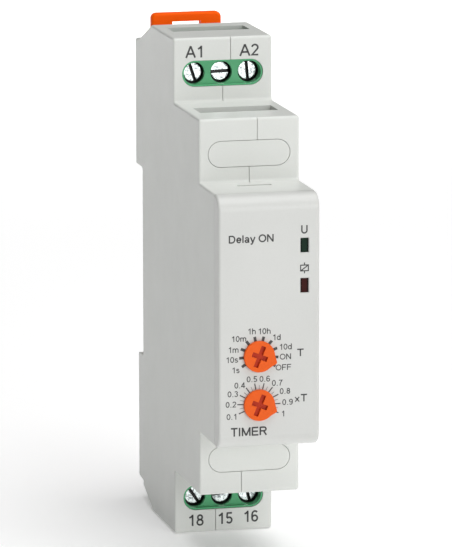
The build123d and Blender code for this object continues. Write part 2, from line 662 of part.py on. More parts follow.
def board_holes():
    """(y, z, radius) of every hole in the main board."""
    holes = [(HEADER_BEND_Y, z, square_reach(HEADER_PIN) + HOLE_GAP) for z in header_rows()]
    bar_y = sum(BAR_Y) / 2
    for z in TAIL_PIN_Z:
        holes.append((bar_y, z, square_reach(PIN) + HOLE_GAP))
        holes.append((bar_y, -z, square_reach(PIN) + HOLE_GAP))
    holes += [(y, z, RELAY_PIN_R + HOLE_GAP) for y, z in relay_pins()]
    for places in lead_places().values():
        holes += [(y, z, LEAD_R + HOLE_GAP) for y, z in places]
    return holes


def main_board():
    """Upright board that fills the right side of the housing."""
    outline = [
        (MAIN_FRONT_Y, MAIN_LOW_HALF),
        (MAIN_STEP_Y, MAIN_LOW_HALF),
        (MAIN_STEP_Y, MAIN_HIGH_HALF),
        (MAIN_REAR_Y, MAIN_HIGH_HALF),
    ]
    outline += [(y, -z) for y, z in reversed(outline)]
    board = prism_x(outline, (BOARD_X, BOARD_X + BOARD_THICK))
    for y, z, radius in board_holes():
        board -= rod_x(y, z, radius, (BOARD_X - 1, BOARD_X + BOARD_THICK + 1))
    return board


def leads(name, clear):
    """The component's round wires, from inside its body through the main board."""
    wire_x = (BOARD_X - clear - LEAD_ROOT, BOARD_X + BOARD_THICK + BOARD_REACH)
    return [rod_x(y, z, LEAD_R, wire_x) for y, z in lead_places()[name]]


def film_capacitor():
    """Box-shaped dropper capacitor with two leads."""
    clear = FIT_GAP * 3
    size_y, size_z, tall = FILM_SIZE
    body = block((BOARD_X - tall, BOARD_X - clear), about(FILM_YZ[0], size_y), about(FILM_YZ[1], size_z))
    body = fillet(body.faces().sort_by(Axis.X)[0].edges(), size_y / 10)
    return body + leads("film", clear)


def filter_capacitor():
    """Can capacitor standing on the board, with a rolled groove near its foot."""
    clear = FIT_GAP * 2
    y, z = FILTER_YZ
    can = rod_x(y, z, FILTER_R, (BOARD_X - FILTER_TALL, BOARD_X - clear))
    can = fillet(can.edges().group_by(Axis.X)[0], FILTER_R / 10)
    place, width, depth = FILTER_GROOVE
    ring_x = about(BOARD_X - place, width)
    can -= rod_x(y, z, FILTER_R + 1, ring_x) - rod_x(y, z, FILTER_R - depth, ring_x)
    return can + leads("filter", clear)


def varistor():
    """Coated disc on two leads."""
    y, z = VARISTOR_YZ
    disc = rod_z(BOARD_X - VARISTOR_TALL, y, VARISTOR_R, about(z, VARISTOR_THICK))
    disc = fillet(disc.edges(), VARISTOR_THICK / 3)
    return disc + leads("varistor", VARISTOR_TALL - VARISTOR_R * 0.55)


def bridge_rectifier():
    """Flat moulded rectifier with four legs."""
    clear = FIT_GAP * 4
    size_y, size_z, tall = BRIDGE_SIZE
    body = block((BOARD_X - tall, BOARD_X - clear), about(BRIDGE_YZ[0], size_y), about(BRIDGE_YZ[1], size_z))
    body = chamfer(body.faces().sort_by(Axis.X)[0].edges(), clear)
    return body + leads("bridge", clear)


def microcontroller():
    """Small moulded chip with gull legs on each long side."""
    y, z = CHIP_YZ
    size_y, size_z, tall = CHIP_SIZE
    width, thick, reach = CHIP_LEG
    body = block((BOARD_X - tall, BOARD_X - thick), about(y, size_y), about(z, size_z))
    body = chamfer(body.faces().sort_by(Axis.X)[0].edges(), thick)
    knee_x = (BOARD_X - tall / 2, BOARD_X - tall / 2 + thick)
    for index in range(CHIP_LEGS):
        leg_z = about(z + CHIP_PITCH * (index - (CHIP_LEGS - 1) / 2), width)
        for side in (-1, 1):
            out = sorted((y + side * (size_y / 2 - thick), y + side * (size_y / 2 + width + thick)))
            foot = sorted((y + side * (size_y / 2 + width), y + side * reach))
            body += block(knee_x, tuple(out), leg_z)
            body += block((knee_x[0], BOARD_X), tuple(foot), leg_z)
    return body


def chip_components():
    """Resistors and small capacitors soldered flat on the main board."""
    places = [(-33.6, -14.0 + 5.6 * index, SMALL_CHIP) for index in range(6)]
    places += [(-43.6, z, SMALL_CHIP) for z in (-12.6, 9.8, 15.4)]
    places += [(-9.5, -26.0 + 3.1 * index, LARGE_CHIP) for index in range(5)]
    chips = []
    for y, z, (size_y, size_z, tall) in places:
        chips.append(block((BOARD_X - tall, BOARD_X), about(y, size_y), about(z, size_z)))
    return Compound(children=chips)


# ---------------------------------------------------------------- relay
def relay_block(tall, across, z):
    """A box given by its height over the main board, its place across the relay and z."""
    x = (BOARD_X - tall[1], BOARD_X - tall[0])
    y = (RELAY_Y + across[0], RELAY_Y + across[1])
    return block(x, y, z)


def relay_rod(radius, tall, z):
    return rod_x(RELAY_Y, z, radius, (BOARD_X - tall[1], BOARD_X - tall[0]))


def relay_pins():
    """(y, z) where the relay's pins pass through the main board."""
    pins = [(RELAY_Y + y, z) for y, z in COIL_PINS]
    return pins + [(RELAY_Y, z) for z in (YOKE_HINGE_Z, MAKE_STRIP_Z, BREAK_STRIP_Z)]


def relay_base():
    gap = RELAY_WALL + FIT_GAP / 2
    z = (RELAY_Z[0] + gap, RELAY_Z[1] - gap)
    base = relay_block(BASE_TALL, about(0, RELAY_WIDTH - gap * 2), z)
    for y, pin_z in relay_pins():
        hole_x = (BOARD_X - BASE_TALL[1] - 1, BOARD_X)
        base -= rod_x(y, pin_z, RELAY_PIN_R + HOLE_GAP, hole_x)
    return base


def relay_cover():
    """Thin box over the relay, open towards the board."""
    outer = relay_block((0.3, RELAY_TALL), about(0, RELAY_WIDTH), RELAY_Z)
    outer = fillet(outer.faces().sort_by(Axis.X)[0].edges(), 0.5)
    inner_z = (RELAY_Z[0] + RELAY_WALL, RELAY_Z[1] - RELAY_WALL)
    inner_tall = (0, RELAY_TALL - RELAY_WALL)
    return outer - relay_block(inner_tall, about(0, RELAY_WIDTH - RELAY_WALL * 2), inner_z)


def relay_bobbin():
    square = about(0, FLANGE)
    z = about(COIL_Z, FLANGE)
    bobbin = relay_block((COIL_TALL[0], COIL_TALL[0] + FLANGE_THICK), square, z)
    bobbin += relay_block((COIL_TALL[1] - FLANGE_THICK, COIL_TALL[1]), square, z)
    bobbin += relay_rod(TUBE_R, COIL_TALL, COIL_Z)
    return bobbin - relay_rod(CORE_R + 0.05, COIL_TALL, COIL_Z)


def relay_winding():
    tall = (COIL_TALL[0] + FLANGE_THICK + 0.02, COIL_TALL[1] - FLANGE_THICK - 0.02)
    return relay_rod(COIL_R, tall, COIL_Z) - relay_rod(TUBE_R + 0.05, tall, COIL_Z)


def relay_core():
    head_tall = (COIL_TALL[1] + 0.02, COIL_TALL[1] + 0.3)
    core = relay_rod(CORE_R, (BASE_TALL[1] + YOKE_THICK, head_tall[1]), COIL_Z)
    return core + relay_rod(POLE_FACE_R, head_tall, COIL_Z)


def relay_yoke():
    """L-shaped iron frame under the coil and up to the hinge edge, with its board pin."""
    hinge_z = about(YOKE_HINGE_Z, YOKE_THICK)
    foot_tall = (BASE_TALL[1], BASE_TALL[1] + YOKE_THICK)
    yoke = relay_block(foot_tall, (-3.5, 3.5), (COIL_Z - 2.6, hinge_z[1]))
    yoke += relay_block((BASE_TALL[1], YOKE_TALL), (-3.5, 3.5), hinge_z)
    yoke += relay_rod(RELAY_PIN_R, PIN_TALL, YOKE_HINGE_Z)
    return yoke


def relay_armature():
    """Iron plate on the hinge edge of the yoke."""
    return relay_block(ARMATURE_U, (-3.0, 3.0), (-14.3, YOKE_HINGE_Z + 0.4))


def relay_contact_spring():
    """Springy blade on the armature with a double-faced contact at its tip."""
    blade_tall = (ARMATURE_U[1], ARMATURE_U[1] + BLADE_THICK)
    blade = relay_block(blade_tall, (-1.6, 1.6), (CONTACT_Z - 1.5, -7.0))
    blade += relay_rod(CONTACT_R, (ARMATURE_U[1] - CONTACT_TALL, BREAK_FACE - HOLD_GAP), CONTACT_Z)
    for z in (-9.0, -12.5):
        blade += relay_rod(0.6, (blade_tall[1], blade_tall[1] + 0.3), z)
    return blade


def relay_fixed_contacts():
    """The break and make contacts on their strips."""
    width = (-1.6, 1.6)
    break_top = BREAK_FACE + CONTACT_BED
    strip_top = break_top + BLADE_THICK
    reach = CONTACT_R + 0.2
    break_strip = relay_block((BASE_TALL[1], strip_top), width, about(BREAK_STRIP_Z, STRIP_THICK))
    break_strip += relay_block((break_top, strip_top), width, (BREAK_STRIP_Z, CONTACT_Z + reach))
    break_strip += relay_rod(CONTACT_R, (BREAK_FACE, break_top), CONTACT_Z)
    break_strip += relay_rod(RELAY_PIN_R, PIN_TALL, BREAK_STRIP_Z)
    make_top = MAKE_FACE - CONTACT_BED
    make_strip = relay_block((BASE_TALL[1], make_top), width, about(MAKE_STRIP_Z, STRIP_THICK))
    make_strip += relay_block((make_top - BLADE_THICK, make_top), width, (CONTACT_Z - reach, MAKE_STRIP_Z))
    make_strip += relay_rod(CONTACT_R, (make_top, MAKE_FACE), CONTACT_Z)
    make_strip += relay_rod(RELAY_PIN_R, PIN_TALL, MAKE_STRIP_Z)
    return Compound(children=[break_strip.solid(), make_strip.solid()])


def relay_coil_pins():
    pins = []
    for y, z in COIL_PINS:
        tall = (PIN_TALL[0], BASE_TALL[1] + 0.8)
        pins.append(rod_x(RELAY_Y + y, z, LEAD_R, (BOARD_X - tall[1], BOARD_X - tall[0])))
    return Compound(children=[pin.solid() for pin in pins])


# ---------------------------------------------------------------- terminals (upper end)
def terminal_block():
    """Three-pole block: a collar in the window, screw bores, cage cells and a wire trough."""
    body = block(about(0, BLOCK_WIDTH), BLOCK_Y, BLOCK_Z)
    collar_size = (WINDOW[0] - FIT_GAP, WINDOW[1] - FIT_GAP)
    collar_y = (BLOCK_Y[0] - COLLAR_PROUD, BLOCK_Y[0] + 0.5)
    body += stadium(TERMINAL_Z, collar_size, collar_y)
    recess_size = (collar_size[0] - COLLAR_WALL * 2, collar_size[1] - COLLAR_WALL * 2)
    recess_y = (collar_y[0] - 1, collar_y[0] + COLLAR_DEPTH)
    body -= stadium(TERMINAL_Z, recess_size, recess_y)
    trough_x = about(0, ENTRY_WIDTH)
    body -= block(trough_x, ENTRY_Y, (CELL_Z[1], BLOCK_Z[1] + 1))
    for x in POLES:
        body -= rod_y(x, TERMINAL_Z, HEAD_BORE_R, (collar_y[0] - 1, LIP_FRONT_Y))
        body -= rod_y(x, TERMINAL_Z, SHANK_R + SHAFT_GAP, (collar_y[0], CELL_Y[0] + 1))
        body -= block(about(x, CELL_WIDTH), CELL_Y, CELL_Z)
        mouth_y = (BAR_Y[1], CAGE_Y[1] - CAGE_WALL)
        body -= block(about(x, CAGE_WIDTH - CAGE_SIDE * 2), mouth_y, (CELL_Z[1] - 1, BLOCK_Z[1] + 1))
        slit_y = (BAR_Y[0] - FIT_GAP / 2, BAR_Y[1] + FIT_GAP / 2)
        body -= block(about(x, BAR_WIDTH + FIT_GAP), slit_y, (BLOCK_Z[0] - 1, CELL_Z[0] + 1))
    return body


def terminal_screw(x, turn):
    """Captive slotted clamp screw, its slot turned from upright."""
    screw = rod_y(0, 0, HEAD_R, (HEAD_Y, HEAD_Y + HEAD_THICK))
    screw = fillet(screw.edges().group_by(Axis.Y)[0], 0.2)
    screw += rod_y(0, 0, SHANK_R, (HEAD_Y + HEAD_THICK, BAR_Y[0] - FIT_GAP))
    screw = chamfer(screw.edges().group_by(Axis.Y)[-1], 0.25)
    screw -= block(about(0, SLOT_WIDTH), (HEAD_Y - 1, HEAD_Y + SLOT_DEPTH), about(0, HEAD_R * 3))
    return Pos(x, 0, TERMINAL_Z) * Rot(0, turn, 0) * screw


def clamp_cage(x):
    """Closed ring around the bus bar that the screw draws forward."""
    z = about(TERMINAL_Z, CAGE_HEIGHT)
    cage = block(about(x, CAGE_WIDTH), CAGE_Y, z)
    cage = fillet(cage.edges().filter_by(Axis.Z), 0.3)
    inside_y = (CAGE_Y[0] + CAGE_WALL, CAGE_Y[1] - CAGE_WALL)
    cage -= block(about(x, CAGE_WIDTH - CAGE_SIDE * 2), inside_y, (z[0] - 1, z[1] + 1))
    return cage - rod_y(x, TERMINAL_Z, SHANK_R + SHAFT_GAP, (CAGE_Y[0] - 1, CAGE_Y[0] + CAGE_WALL + 0.5))


def terminal_tails():
    """Three bus bars, each with a narrow leg and a pin through the main board."""
    tails = []
    for x, pin_z in zip(POLES, TAIL_PIN_Z):
        bar = block(about(x, BAR_WIDTH), BAR_Y, (BLOCK_Z[0], BAR_TOP_Z))
        leg_x = (x - BAR_WIDTH / 2, x - BAR_WIDTH / 2 + LEG_WIDTH)
        bar += block(leg_x, BAR_Y, (pin_z - PIN / 2, BLOCK_Z[0]))
        pin_x = (leg_x[0], BOARD_X + BOARD_THICK + BOARD_REACH / 2)
        bar += block(pin_x, about(sum(BAR_Y) / 2, PIN), about(pin_z, PIN))
        tails.append(bar)
    return Compound(children=[tail.solid() for tail in tails])


# ---------------------------------------------------------------- rail clip
def rail_clip():
    """Sliding catch: pull tab with a window, a lip behind the rail and a spring boss."""
    half = CLIP_WIDTH / 2
    plate = block((-half, half), CLIP_Y, (CLIP_LIP_TOP, CLIP_TOP))
    top_edges = plate.edges().filter_by(Axis.Y).group_by(Axis.Z)[-1]
    plate = fillet(top_edges, CLIP_TOP_R)
    window_z = (CLIP_TOP - CLIP_BRIDGE - CLIP_WINDOW[1], CLIP_TOP - CLIP_BRIDGE)
    plate -= block(about(0, CLIP_WINDOW[0]), (CLIP_Y[0] - 1, CLIP_Y[1] + 1), window_z)
    top_rim = plate.faces().sort_by(Axis.Z)[-1].edges().filter_by(Axis.X)
    plate = fillet(top_rim, 0.5)
    lip_points = [
        (LIP_Y, CLIP_LIP_Z),
        (LIP_Y + LIP_EDGE, CLIP_LIP_Z),
        (CLIP_Y[1], CLIP_LIP_Z + LIP_SLANT),
        (CLIP_Y[1], CLIP_LIP_TOP),
        (LIP_Y, CLIP_LIP_TOP),
    ]
    clip = plate + prism_x(lip_points, (-half, half))
    boss_half = SPRING_POCKET / 2 - FIT_GAP
    boss_y = (SPRING_Y - SPRING_POCKET / 2 + FIT_GAP * 2, CLIP_Y[0] + 0.5)
    return clip + block((-boss_half, boss_half), boss_y, (SPRING_Z[0] - CLIP_BOSS, SPRING_Z[0]))


def clip_spring():
    """Compression spring between the clip's boss and the housing."""
    end_gap = 0.02 + SPRING_WIRE_R
    length = SPRING_Z[1] - SPRING_Z[0] - end_gap * 2
    path = Helix(pitch=length / SPRING_TURNS, height=length, radius=SPRING_R - SPRING_WIRE_R)
    section = Plane(origin=path @ 0, z_dir=path % 0) * Circle(SPRING_WIRE_R)
    coil = sweep(section, path=path, is_frenet=True)
    return Pos(0, SPRING_Y, SPRING_Z[0] + end_gap) * coil


# ---------------------------------------------------------------- write every piece
def all_pieces():
    left, right = case_halves()
    upper_block = terminal_block()
    upper_tails = terminal_tails()
    pieces = {
        "left_case": left,
        "right_case": right,
        "front_cover": front_cover(),
        "upper_blanking_plug": blanking_plug(),
        "lower_blanking_plug": flip(blanking_plug()),
        "rail_clip": rail_clip(),
        "clip_spring": clip_spring(),
        "front_board": front_board(),
        "main_board": main_board(),
        "board_header": board_header(),
        "film_capacitor": film_capacitor(),
        "filter_capacitor": filter_capacitor(),
        "varistor": varistor(),
        "bridge_rectifier": bridge_rectifier(),
        "microcontroller": microcontroller(),
        "chip_components": chip_components(),
        "relay_base": relay_base(),
        "relay_cover": relay_cover(),
        "relay_bobbin": relay_bobbin(),
        "relay_winding": relay_winding(),
        "relay_core": relay_core(),
        "relay_yoke": relay_yoke(),
        "relay_armature": relay_armature(),
        "relay_contact_spring": relay_contact_spring(),
        "relay_fixed_contacts": relay_fixed_contacts(),
        "relay_coil_pins": relay_coil_pins(),
        "upper_terminal_block": upper_block,
        "lower_terminal_block": flip(upper_block),
        "upper_terminal_tails": upper_tails,
        "lower_terminal_tails": flip(upper_tails),
    }
    for name, z in (("range", RANGE_Z), ("time", TIME_Z)):
        pieces[f"{name}_knob"] = knob(z)
        pieces[f"{name}_pot_rotor"] = pot_rotor(z)
        pieces[f"{name}_pot_base"] = pot_base(z)
    for name, z in (("power", POWER_LIGHT_Z), ("relay", RELAY_LIGHT_Z)):
        pieces[f"{name}_light_window"] = light_window(z)
        pieces[f"{name}_led"] = lamp(z)
    for x, name in zip(POLES, ("a1", "unused", "a2")):
        pieces[f"screw_{name}"] = terminal_screw(x, SLOT_TURN[name])
        pieces[f"cage_{name}"] = clamp_cage(x)
    for x, name in zip(POLES, ("18", "15", "16")):
        pieces[f"screw_{name}"] = flip(terminal_screw(x, 180 - SLOT_TURN[name]))
        pieces[f"cage_{name}"] = flip(clamp_cage(x))
    return pieces


os.makedirs("parts", exist_ok=True)
for node, shape in all_pieces().items():
    export_step(shape, f"parts/{node}.step")
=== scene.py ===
import json
import math
import bmesh
import bpy
from mathutils import Matrix, Vector


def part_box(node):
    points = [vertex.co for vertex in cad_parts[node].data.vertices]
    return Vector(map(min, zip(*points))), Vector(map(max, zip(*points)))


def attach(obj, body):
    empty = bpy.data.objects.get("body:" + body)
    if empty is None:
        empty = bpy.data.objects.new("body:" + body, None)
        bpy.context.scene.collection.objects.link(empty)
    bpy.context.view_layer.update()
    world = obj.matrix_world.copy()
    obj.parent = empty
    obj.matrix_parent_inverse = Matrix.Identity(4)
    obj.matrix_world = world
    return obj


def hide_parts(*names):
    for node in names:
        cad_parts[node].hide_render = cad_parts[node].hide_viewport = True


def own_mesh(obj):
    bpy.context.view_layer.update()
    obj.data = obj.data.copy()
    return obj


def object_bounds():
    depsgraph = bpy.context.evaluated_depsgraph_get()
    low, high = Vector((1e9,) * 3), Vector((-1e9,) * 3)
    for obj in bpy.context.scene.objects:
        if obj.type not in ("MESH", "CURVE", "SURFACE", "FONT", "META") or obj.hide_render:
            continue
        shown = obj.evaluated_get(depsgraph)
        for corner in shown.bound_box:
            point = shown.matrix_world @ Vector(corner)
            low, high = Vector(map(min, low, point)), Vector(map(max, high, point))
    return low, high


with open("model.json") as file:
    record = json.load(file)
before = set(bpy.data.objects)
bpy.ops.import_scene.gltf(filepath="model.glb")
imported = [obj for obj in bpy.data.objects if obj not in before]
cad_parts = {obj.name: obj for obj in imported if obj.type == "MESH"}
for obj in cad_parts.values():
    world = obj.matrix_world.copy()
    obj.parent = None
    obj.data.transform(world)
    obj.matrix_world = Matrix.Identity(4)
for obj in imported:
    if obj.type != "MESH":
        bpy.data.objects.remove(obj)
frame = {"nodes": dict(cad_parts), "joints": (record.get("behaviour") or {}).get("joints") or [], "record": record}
cad_low, cad_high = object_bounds()
nodes = frame["nodes"]
MM = 0.001

# ---------------------------------------------------------------- places taken from the frame
FACE_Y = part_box("front_cover")[0].y
TIER1_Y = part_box("upper_terminal_block")[0].y - 0.25 * MM
SCREW_LOW, SCREW_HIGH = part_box("screw_unused")
HEAD_FACE_Y = SCREW_LOW.y
TERMINAL_Z = (SCREW_LOW.z + SCREW_HIGH.z) / 2
POLE_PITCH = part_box("screw_a2")[0].x - SCREW_LOW.x
KNOB_FACE_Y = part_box("time_knob")[0].y
KNOB_JOINTS = {joint["child"]: Vector(joint["pos_m"]) for joint in frame["joints"] if "dial" in joint["name"]}
RANGE_CENTRE = KNOB_JOINTS["range_dial"]
TIME_CENTRE = KNOB_JOINTS["time_dial"]


# ---------------------------------------------------------------- node trees
class Tree:
    """A node tree being built; every call adds one node and joins its inputs."""

    def __init__(self, tree):
        self.tree = tree
        tree.nodes.clear()

    def add(self, kind, settings=None, **inputs):
        node = self.tree.nodes.new(kind)
        for key, value in (settings or {}).items():
            setattr(node, key, value)
        for key, value in inputs.items():
            socket = node.inputs[int(key[1:])] if key[1:].isdigit() else node.inputs[key.replace("_", " ")]
            if isinstance(value, bpy.types.NodeSocket):
                self.tree.links.new(value, socket)
            else:
                socket.default_value = value
        return node

    def math(self, operation, a, b=0.0, c=0.0):
        return self.add("ShaderNodeMath", {"operation": operation}, i0=a, i1=b, i2=c).outputs[0]

    def scaled(self, value, low, high, from_low=0.0, from_high=1.0):
        """The value moved from one range to another."""
        node = self.add("ShaderNodeMapRange", None, i0=value, i1=from_low, i2=from_high, i3=low, i4=high)
        return node.outputs[0]

    def noise(self, place, scale, detail=2.0, roughness=0.5):
        node = self.add("ShaderNodeTexNoise", None, Vector=place, Scale=scale, Detail=detail,
                        Roughness=roughness)
        return node.outputs[0]

    def mix(self, factor, a, b):
        """A colour between a and b."""
        node = self.add("ShaderNodeMix", {"data_type": "RGBA"}, i0=factor, i6=a, i7=b)
        return node.outputs[2]


    def join(self, value, shader, name):
        """Leads a value into a named input of a shader."""
        self.tree.links.new(value, shader.inputs[name])

    def raise_grain(self, shader, height, microns):
        """Small relief on a shader, from a height of 0 to 1."""
        bump = self.add("ShaderNodeBump", None, Strength=1.0, Distance=microns * 1e-6, Height=height)
        self.join(bump.outputs[0], shader, "Normal")

    def axes(self, place):
        """The x, y and z of a place."""
        return self.add("ShaderNodeSeparateXYZ", None, Vector=place).outputs

    def below(self, place, face_y, start, end):
        """0 on a face, 1 below it, between two depths in mm."""
        return self.scaled(self.axes(place)[1], 0.0, 1.0, face_y + start * MM, face_y + end * MM)


    def away(self, value, from_value):
        """How far a value is from another, either way."""
        return self.math("ABSOLUTE", self.math("SUBTRACT", value, from_value))

    def within(self, across, upward, start, end):
        """1 nearer an axis than start, 0 beyond end, both in mm."""
        reach = self.math("SQRT", self.math("ADD", self.math("MULTIPLY", across, across),
                                            self.math("MULTIPLY", upward, upward)))
        return self.scaled(reach, 1.0, 0.0, start * MM, end * MM)


def rgb(red, green, blue):
    """Linear colour from screen values of 0 to 255."""
    def linear(value):
        value = value / 255
        return value / 12.92 if value <= 0.04045 else ((value + 0.055) / 1.055) ** 2.4
    return (linear(red), linear(green), linear(blue), 1.0)


def start_material(name):
    """(material, tree, object coordinates, shader) of a new material."""
    material = bpy.data.materials.new(name)
    material.use_nodes = True
    tree = Tree(material.node_tree)
    place = tree.add("ShaderNodeTexCoord").outputs["Object"]
    shader = tree.add("ShaderNodeBsdfPrincipled")
    tree.add("ShaderNodeOutputMaterial", None, Surface=shader.outputs[0])
    return material, tree, place, shader


GRAIN_SIZE = 0.14


def moulded_plastic(name, colour, roughness, grain=2.5, drift=0.03, specular=0.5, shade=None):
    """Injection-moulded plastic: eroded grain, slow tone drift and faint flow.

    grain is the height of the grain in microns; shade is (finder of the recesses, colour of the shade painted into
    them).
    """
    material, tree, place, shader = start_material(name)
    tone = tree.noise(place, 55.0, 3.0)
    fleck = tree.noise(place, 2600.0, 2.0, 0.6)
    dark = [channel * (1 - drift) for channel in colour[:3]] + [1.0]
    light = [min(1.0, channel * (1 + drift)) for channel in colour[:3]] + [1.0]
    slow = tree.scaled(tone, 0.1, 0.75, 0.3, 0.7)
    blend = tree.math("ADD", slow, tree.scaled(fleck, -0.15, 0.15, 0.3, 0.7))
    body = tree.mix(blend, dark, light)
    # Painted shade: the recesses found by place on the part are coloured darker.
    if shade:
        find_recess, painted_recess_colour = shade
        body = tree.mix(find_recess(tree, place), body, painted_recess_colour)
    tree.join(body, shader, "Base Color")
    worn = tree.noise(place, 240.0, 4.0, 0.65)
    tree.join(tree.scaled(worn, roughness - 0.05, roughness + 0.06, 0.3, 0.7), shader, "Roughness")
    shader.inputs["Specular IOR Level"].default_value = specular
    shader.inputs["IOR"].default_value = 1.5
    fine = tree.noise(place, 1.0 / (GRAIN_SIZE * MM), 2.0, 0.55)
    wave = tree.noise(place, 90.0, 1.0)
    tree.raise_grain(shader, tree.math("ADD", fine, tree.math("MULTIPLY", wave, 6.0)), grain)
    return material


def ink(name, dark, light):
    """Pad-printed grey ink with slightly uneven cover."""
    material, tree, place, shader = start_material(name)
    cover = tree.noise(place, 3200.0, 3.0, 0.6)
    blend = tree.scaled(cover, 0.0, 1.0, 0.35, 0.75)
    tree.join(tree.mix(blend, rgb(dark, dark, dark), rgb(light, light, light)), shader, "Base Color")
    tree.join(tree.scaled(cover, 0.42, 0.6), shader, "Roughness")
    return material


def metal(name, colour, roughness):
    """Plated metal with fine grain and cloudy wear."""
    material, tree, place, shader = start_material(name)
    cloud = tree.noise(place, 500.0, 4.0, 0.6)
    dark = [channel * 0.86 for channel in colour[:3]] + [1.0]
    tree.join(tree.mix(tree.scaled(cloud, 0.0, 1.0, 0.35, 0.65), dark, colour), shader, "Base Color")
    shader.inputs["Metallic"].default_value = 1.0
    tree.join(tree.scaled(cloud, roughness - 0.05, roughness + 0.1, 0.3, 0.7), shader, "Roughness")
    tree.raise_grain(shader, tree.noise(place, 900.0, 3.0, 0.6), 3.0)
    return material


def screw_metal(name):
    """Bright zinc plate, flecked on the head, with shade painted dark below its face and in the slot."""
    material, tree, place, shader = start_material(name)
    cloud = tree.noise(place, 2300.0, 4.0, 0.7)
    bright, fleck, painted_slot_shade = (0.91, 0.99, 0.98, 1.0), (0.22, 0.24, 0.25, 1.0), (0.03, 0.03, 0.03, 1.0)
    plate = tree.mix(tree.scaled(cloud, 0.0, 1.0, 0.46, 0.61), bright, fleck)
    # Painted shade: near-black deeper than the head's face, in the slot and round the head.
    tree.join(tree.mix(tree.below(place, HEAD_FACE_Y, 0.12, 0.4), plate, painted_slot_shade), shader, "Base Color")
    shader.inputs["Metallic"].default_value = 1.0
    tree.join(tree.scaled(cloud, 0.2, 0.42, 0.35, 0.7), shader, "Roughness")
    tree.raise_grain(shader, tree.noise(place, 5200.0, 3.0, 0.6), 4.0)
    return material


def screw_bores(tree, place):
    """1 inside the holes round the screw heads, three poles at either end, where shade is painted."""
    axes = tree.axes(place)
    side = tree.math("ABSOLUTE", axes[0])
    across = tree.math("MINIMUM", side, tree.away(side, POLE_PITCH))
    upward = tree.away(tree.math("ABSOLUTE", axes[2]), abs(TERMINAL_Z))
    inside = tree.within(across, upward, 2.05, 2.2)
    return tree.math("MULTIPLY", inside, tree.below(place, HEAD_FACE_Y, -0.6, -0.25))


def knob_crosses(tree, place):
    """1 on the floor of the driver cross of either knob, where shade is painted."""
    axes = tree.axes(place)
    middle = (RANGE_CENTRE.z + TIME_CENTRE.z) / 2
    upward = tree.away(tree.away(axes[2], middle), abs(RANGE_CENTRE.z - middle))
    inside = tree.within(tree.away(axes[0], RANGE_CENTRE.x), upward, 2.15, 2.3)
    return tree.math("MULTIPLY", inside, tree.below(place, KNOB_FACE_Y, 0.1, 0.42))


def lens_rim(node):
    """Finder of the rim of a light window, where the shade of its recess is painted dark."""
    low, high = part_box(node)
    middle, half = (low + high) / 2, (high - low) / 2

    def find(tree, place):
        axes = tree.axes(place)
        edges = []
        for index, band in ((0, 0.32), (2, 0.34)):
            away = tree.away(axes[index], middle[index])
            edges.append(tree.scaled(away, 0.0, 1.0, half[index] - band * MM, half[index] - 0.1 * MM))
        return tree.math("MAXIMUM", edges[0], edges[1])
    return find


def plastics():
    """The look of every moulded, coated or printed-board finish, by slot name."""
    return {
        "housing_plastic": dict(colour=rgb(217, 219, 215), roughness=0.36, specular=0.22),
        "cover_plastic": dict(colour=rgb(206, 207, 204), roughness=0.34, specular=0.35),
        "clip_plastic": dict(colour=rgb(255, 92, 0), roughness=0.42, grain=3.0, drift=0.05, specular=0.06),
        # Painted shade: the floor of each knob's cross is coloured darker red.
        "knob_plastic": dict(colour=rgb(230, 92, 16), roughness=0.4, grain=2.0, drift=0.05, specular=0.2,
                             shade=(knob_crosses, rgb(182, 48, 6))),
        # Painted shade: near-black green in the bores round the screw heads.
        "terminal_plastic": dict(colour=rgb(70, 168, 112), roughness=0.36, grain=3.0, drift=0.06,
                                 shade=(screw_bores, rgb(12, 26, 18))),
        # Painted shade: darker rims round both light windows.
        "green_lens": dict(colour=rgb(25, 44, 33), roughness=0.12, grain=0.5, drift=0.2, specular=0.1,
                           shade=(lens_rim("power_light_window"), rgb(8, 12, 9))),
        "red_lens": dict(colour=rgb(56, 22, 20), roughness=0.12, grain=0.5, drift=0.2, specular=0.1,
                         shade=(lens_rim("relay_light_window"), rgb(14, 8, 8))),
        "circuit_board": dict(colour=(0.03, 0.2, 0.09, 1.0), roughness=0.4, drift=0.12),
        "black_plastic": dict(colour=(0.025, 0.025, 0.027, 1.0), roughness=0.45),
        "capacitor_case": dict(colour=(0.75, 0.55, 0.06, 1.0), roughness=0.4),
        "capacitor_can": dict(colour=(0.04, 0.05, 0.08, 1.0), roughness=0.3),
        "varistor_coat": dict(colour=(0.02, 0.1, 0.4, 1.0), roughness=0.35, grain=8.0),
        "chip_ceramic": dict(colour=(0.16, 0.12, 0.09, 1.0), roughness=0.5),
        "trimmer_plastic": dict(colour=(0.05, 0.05, 0.06, 1.0), roughness=0.45),
        "bobbin_plastic": dict(colour=(0.7, 0.69, 0.62, 1.0), roughness=0.45),
        "lamp_body": dict(colour=(0.75, 0.75, 0.7, 1.0), roughness=0.3),
    }


METALS = {
    "cage_steel": ((0.7, 0.69, 0.66, 1.0), 0.34),
    "tinned_brass": ((0.78, 0.74, 0.62, 1.0), 0.3),
    "spring_steel": ((0.6, 0.6, 0.6, 1.0), 0.28),
    "relay_iron": ((0.66, 0.65, 0.62, 1.0), 0.36),
    "copper_wire": ((0.72, 0.3, 0.12, 1.0), 0.3),
}


def make_materials():
    """Every finish, by the record's slot name."""
    finishes = {name: moulded_plastic(name, **look) for name, look in plastics().items()}
    finishes.update({name: metal(name, *look) for name, look in METALS.items()})
    finishes["screw_steel"] = screw_metal("screw_steel")
    return finishes


def dress_nodes(finishes):
    """Gives every CAD node the finish that the record names for it."""
    for row in frame["record"]["subparts"]:
        part = nodes[row["node"]]
        material = finishes[row["material_slot"]]
        if not part.material_slots:
            part.data.materials.append(material)
        for held in part.material_slots:
            held.material = material


# ---------------------------------------------------------------- printed marks
INK_PROUD = 0.012 * MM
INK_SUNK = 0.006 * MM


